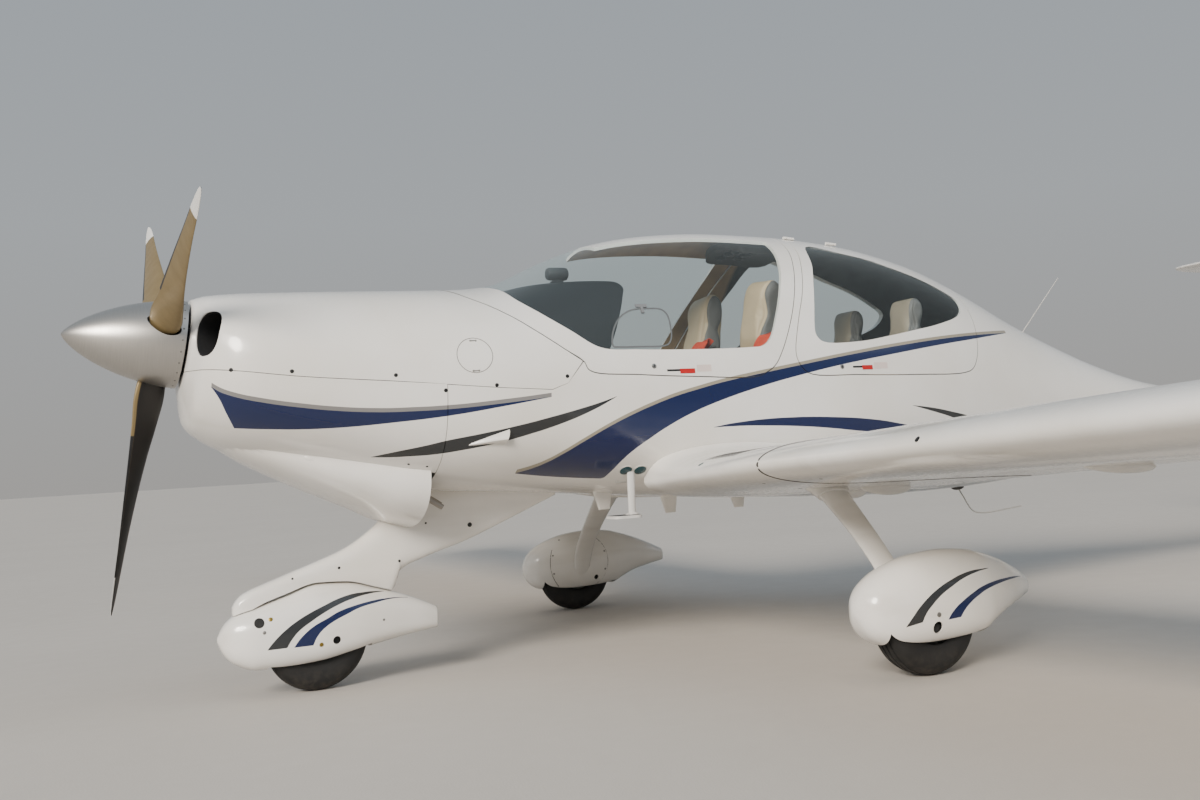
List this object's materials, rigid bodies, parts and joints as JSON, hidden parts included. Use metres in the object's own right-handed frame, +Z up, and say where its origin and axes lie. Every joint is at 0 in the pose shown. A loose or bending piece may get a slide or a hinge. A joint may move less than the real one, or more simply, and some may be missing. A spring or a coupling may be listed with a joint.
{
  "type": "four-seat low-wing light aircraft with T-tail",
  "caption": "Light low-wing aircraft with a bubble canopy, T-tail, three-blade propeller and faired fixed landing gear, standing on its wheels.",
  "frame": {"origin": "middle of the length and span, on the ground under the tyres", "axes": "+X to the aircraft's left (port) wing tip, +Y aft towards the tail, +Z up"},
  "size_m": [11.63, 8.0601, 1.97],
  "materials": {
    "white_paint": "gloss paint over composite skin",
    "clear_glazing": "clear acrylic",
    "spinner_silver": "satin",
    "blade_bronze": "satin paint",
    "steel": "satin",
    "engine_iron": "matte",
    "rubber_black": "matte rubber",
    "rim_silver": "satin",
    "beige_leather": "soft leather",
    "panel_dark": "matte",
    "stick_black": "matte"
  },
  "bodies": {
    "airframe": {"fuselage": "white_paint", "upper_cowling": "white_paint", "lower_cowling": "white_paint", "engine_block": "engine_iron", "rear_window_right": "clear_glazing", "wing_left": "white_paint", "wing_right": "white_paint", "tailplane": "white_paint", "nose_leg": "white_paint", "main_leg_left": "white_paint", "main_leg_right": "white_paint", "main_fairing_left": "white_paint", "main_fairing_right": "white_paint", "front_seat_left": "beige_leather", "front_seat_right": "beige_leather", "rear_seat": "beige_leather", "instrument_panel": "panel_dark", "control_stick_left": "stick_black", "control_stick_right": "stick_black", "boarding_step_left": "white_paint", "wing_stub_left": "white_paint", "wing_stub_right": "white_paint"},
    "canopy": {"canopy_frame": "white_paint", "canopy_glass": "clear_glazing"},
    "rear_door": {"rear_door": "white_paint", "rear_door_glass": "clear_glazing"},
    "propeller": {"spinner": "spinner_silver", "blade_1": "blade_bronze", "blade_2": "blade_bronze", "blade_3": "blade_bronze"},
    "nose_fork": {"nose_fork": "steel", "nose_fairing": "white_paint"},
    "nose_wheel": {"nose_wheel_tyre": "rubber_black", "nose_wheel_rim": "rim_silver"},
    "main_wheel_left": {"main_wheel_left_tyre": "rubber_black", "main_wheel_left_rim": "rim_silver"},
    "main_wheel_right": {"main_wheel_right_tyre": "rubber_black", "main_wheel_right_rim": "rim_silver"},
    "flap_left": {"flap_left": "white_paint"},
    "flap_right": {"flap_right": "white_paint"},
    "aileron_left": {"aileron_left": "white_paint"},
    "aileron_right": {"aileron_right": "white_paint"},
    "elevator": {"elevator": "white_paint"},
    "rudder": {"rudder": "white_paint"}
  },
  "joints": [
    {"name": "canopy_lift", "type": "hinge", "parent": "airframe", "child": "canopy", "pos_m": [0, -2.743, 1.444], "axis": [1, 0, 0], "range_deg": [0, 40]},
    {"name": "rear_door_lift", "type": "hinge", "parent": "airframe", "child": "rear_door", "pos_m": [0.124, -1.25, 1.71], "axis": [0, -0.9966, 0.0827], "range_deg": [0, 80]},
    {"name": "propeller_spin", "type": "hinge", "parent": "airframe", "child": "propeller", "pos_m": [0, -3.74181, 1.26767], "axis": [0, 0.9938, -0.1115], "continuous": true},
    {"name": "nose_wheel_steer", "type": "hinge", "parent": "airframe", "child": "nose_fork", "pos_m": [0, -3.365, 0.32], "axis": [0, 0, 1], "range_deg": [-30, 30]},
    {"name": "nose_wheel_spin", "type": "hinge", "parent": "nose_fork", "child": "nose_wheel", "pos_m": [0, -3.176, 0.178], "axis": [1, 0, 0], "continuous": true},
    {"name": "main_wheel_left_spin", "type": "hinge", "parent": "airframe", "child": "main_wheel_left", "pos_m": [1.485, -1.546, 0.182], "axis": [1, 0, 0], "continuous": true},
    {"name": "main_wheel_right_spin", "type": "hinge", "parent": "airframe", "child": "main_wheel_right", "pos_m": [-1.485, -1.546, 0.182], "axis": [1, 0, 0], "continuous": true},
    {"name": "flap_left_lower", "type": "hinge", "parent": "airframe", "child": "flap_left", "pos_m": [1.358, -1.12584, 0.65341], "axis": [-0.9987, 0.0222, -0.0456], "range_deg": [0, 42]},
    {"name": "flap_right_lower", "type": "hinge", "parent": "airframe", "child": "flap_right", "pos_m": [-1.358, -1.12584, 0.65341], "axis": [-0.9987, -0.0222, 0.0456], "range_deg": [0, 42]},
    {"name": "aileron_left_turn", "type": "hinge", "parent": "airframe", "child": "aileron_left", "pos_m": [3.202, -1.14467, 0.7345], "axis": [0.9975, -0.0489, 0.0514], "range_deg": [-20, 20]},
    {"name": "aileron_right_turn", "type": "hinge", "parent": "airframe", "child": "aileron_right", "pos_m": [-3.202, -1.14467, 0.7345], "axis": [0.9975, 0.0489, -0.0514], "range_deg": [-20, 20]},
    {"name": "elevator_turn", "type": "hinge", "parent": "airframe", "child": "elevator", "pos_m": [0, 3.76, 1.88895], "axis": [1, 0, 0], "range_deg": [-13, 15.5]},
    {"name": "rudder_turn", "type": "hinge", "parent": "airframe", "child": "rudder", "pos_m": [0, 3.56, 0.69], "axis": [0, 0.2281, 0.9736], "range_deg": [-27, 27]}
  ],
  "couplings": [
    {"joint": "flap_right_lower", "follows": "flap_left_lower", "ratio": 1},
    {"joint": "aileron_right_turn", "follows": "aileron_left_turn", "ratio": -1}
  ]
}
